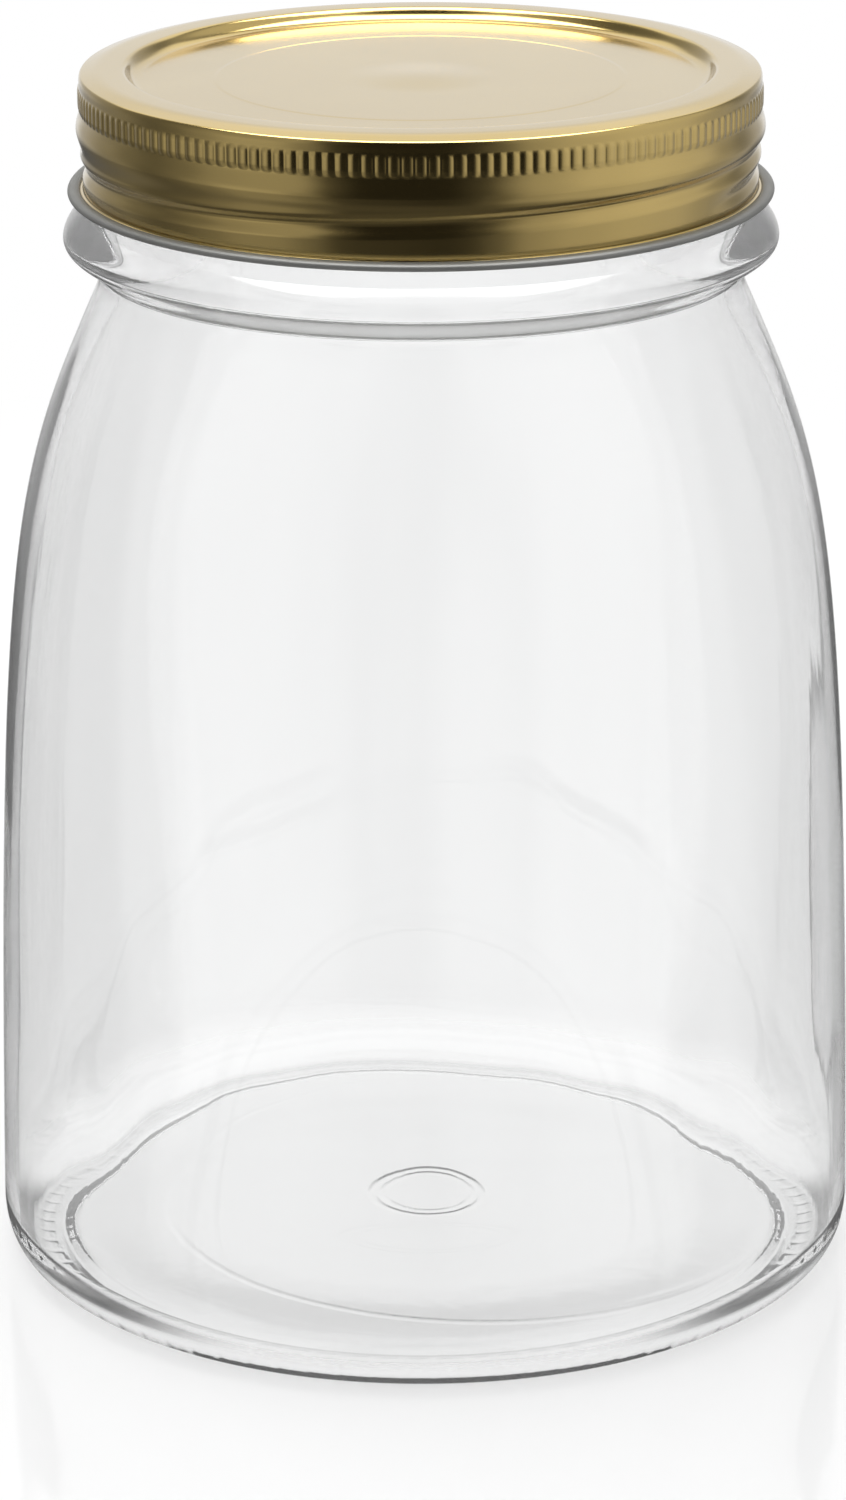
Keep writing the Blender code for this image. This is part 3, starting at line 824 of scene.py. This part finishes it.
def make_floor():
    """A glossy white table top that fades into plain white at its edge.

    Seen through the glass it is clear, and shows the room: by CLEAR_SHARE under the jar, and wholly
    from a little way beside it. A painted contact shadow, a dark glow seen through the glass only,
    lies under the heel at both sides of its front half.
    """
    material = bpy.data.materials.new("white_table")
    tree = Tree(material)
    place = tree.place()
    from_middle = tree.distance(place, TABLE_MIDDLE)
    from_jar = tree.distance(place, (0, 0, 0))
    table = tree.node("ShaderNodeBsdfPrincipled", {}, {
        "Base Color": plain(0.42),
        "Roughness": 0.05,
        "Emission Color": plain(1),
        "Emission Strength": 0.53,
    })
    glow = tree.node("ShaderNodeEmission", {}, {"Color": plain(1), "Strength": 1.0})
    clear = tree.node("ShaderNodeBsdfTransparent")
    surface = tree.node("ShaderNodeMixShader", {}, {0: from_middle.step(*TABLE_FADE), 1: table, 2: glow})
    rays = tree.node("ShaderNodeLightPath").socket.node.outputs
    right, back, _ = tree.parts(place)
    through_glass = Signal(tree, rays["Is Transmission Ray"])
    glimpse = CLEAR_SHARE * (1 - from_jar.step(*CLEAR_UNDER_JAR)) + from_jar.step(*CLEAR_BESIDE_JAR)
    surface = tree.node("ShaderNodeMixShader", {}, {0: through_glass * glimpse, 1: surface, 2: clear})
    # Painted contact shadow: under the heel's two sides, rays through the glass meet a dark glow instead of
    # the table.
    under_heel = from_jar.step(*SHADOW_FROM) * (1 - from_jar.step(*SHADOW_TO))
    at_the_sides = (right * right).step(*SHADOW_SIDES) * (1 - back.step(*SHADOW_BACK))
    shade = through_glass * under_heel * at_the_sides * SHADOW_SHARE
    shadow = tree.node("ShaderNodeEmission", {}, {"Color": plain(1), "Strength": 0.06})
    surface = tree.node("ShaderNodeMixShader", {}, {0: shade, 1: surface, 2: shadow})
    tree.node("ShaderNodeOutputMaterial", {}, {"Surface": surface})
    angle = angles(TABLE_POINTS)
    edge = TABLE_RADIUS * np.stack([np.sin(angle), -np.cos(angle), np.zeros(TABLE_POINTS)], axis=1)
    data = bpy.data.meshes.new("table_top")
    data.from_pydata((edge + TABLE_MIDDLE).tolist(), [], [list(range(TABLE_POINTS))])
    data.materials.append(material)
    table_top = bpy.data.objects.new("table_top", data)
    bpy.context.scene.collection.objects.link(table_top)
    table_top.visible_glossy = False


def round_the_room(stops):
    """Ramp stops from pairs of an azimuth, in degrees from the front towards +X, and a grey."""
    return [((azimuth + 180) / 360, grey) for azimuth, grey in stops]


def light_studio():
    """A studio as a brightness for each direction, with a soft lamp overhead for the matt surfaces.

    The camera sees white, and a matt surface an even grey. A reflection sees the room: dark behind
    the camera, a pale screen at either side, a white strip at the back between two dark ones, a pale
    wall above that, a bright box overhead, and a grey floor that darkens the sides just above it.
    What has passed through glass sees THROUGH_ROOM in a strip just under the horizon, and nearly
    white above and below the strip.
    """
    world = bpy.data.worlds.new("white_studio")
    bpy.context.scene.world = world
    tree = Tree(world)
    direction = tree.node("ShaderNodeTexCoord", output="Generated")
    right, back, up = tree.parts(direction)
    front = -back
    azimuth = tree.node("ShaderNodeMath", {"operation": "ARCTAN2"}, {0: right, 1: front}) / TURN + 0.5
    off_the_back = front.step(*OFF_THE_BACK)
    low, high, through = (tree.node("ShaderNodeValToRGB", {"stops": round_the_room(stops)}, {0: azimuth})
                          for stops in (LOW_ROOM, HIGH_ROOM, THROUGH_ROOM))
    rise = tree.mixed(off_the_back, up.step(*BACK_HORIZON), up.step(*HORIZON))
    sides = tree.mixed(rise, low, high)
    shade = LEFT_SHADE - (LEFT_SHADE - RIGHT_SHADE) * right.step(*SHADE_SIDES)
    shaded = tree.mixed(shade, sides, plain(FLOOR_GREY))
    sides = tree.mixed(up.step(*UNDER_HORIZON), shaded, sides)
    sides = tree.mixed(up.step(*NEAR_FLOOR), plain(FLOOR_GREY), sides)
    overhead = up.step(*OVERHEAD_FROM) * front.step(*OVERHEAD_BACK) * (1 - front.step(*OVERHEAD_FRONT))
    back_wall = up.step(*BACK_WALL_FROM) * (1 - front.step(*BACK_WALL_END))
    room = tree.mixed(back_wall, sides, plain(BACK_WALL))
    room = tree.mixed(overhead, room, plain(OVERHEAD))
    rays = tree.node("ShaderNodeLightPath").socket.node.outputs
    seen = tree.mixed(Signal(tree, rays["Is Camera Ray"]), plain(FILL_GREY), plain(1))
    seen = tree.mixed(Signal(tree, rays["Is Glossy Ray"]), seen, room)
    off_strip = THROUGH_HIGH_SHARE * up.step(*THROUGH_HIGH) + THROUGH_LOW_SHARE * (1 - up.step(*THROUGH_LOW))
    through = tree.mixed(off_strip, through, plain(1))
    in_glass = Signal(tree, rays["Transmission Depth"])
    seen = tree.mixed(in_glass.step(0.0, 1.0), seen, through)
    shader = tree.node("ShaderNodeBackground", {}, {"Color": seen})
    tree.node("ShaderNodeOutputWorld", {}, {"Surface": shader})

    data = bpy.data.lights.new("overhead_softbox", "AREA")
    data.shape = "SQUARE"
    data.size = LAMP_SIZE
    data.energy = LAMP_POWER
    lamp = bpy.data.objects.new("overhead_softbox", data)
    lamp.location = LAMP_PLACE
    lamp.visible_camera = False
    lamp.visible_glossy = False
    lamp.visible_transmission = False
    bpy.context.scene.collection.objects.link(lamp)


def place_camera():
    """The photograph's viewpoint: a long lens, looking down a little."""
    data = bpy.data.cameras.new("camera")
    data.lens = CAMERA_LENS
    camera = bpy.data.objects.new("camera", data)
    camera.location = CAMERA_PLACE
    camera.rotation_mode = "XYZ"
    camera.rotation_euler = (math.pi / 2 - CAMERA_PITCH, 0, 0)
    camera.rotation_euler.rotate_axis("Z", CAMERA_ROLL)
    bpy.context.scene.collection.objects.link(camera)
    bpy.context.scene.camera = camera


place_camera()
make_jar()
make_seal()
make_lid()
make_floor()
light_studio()
bpy.context.scene.view_settings.view_transform = "Standard"
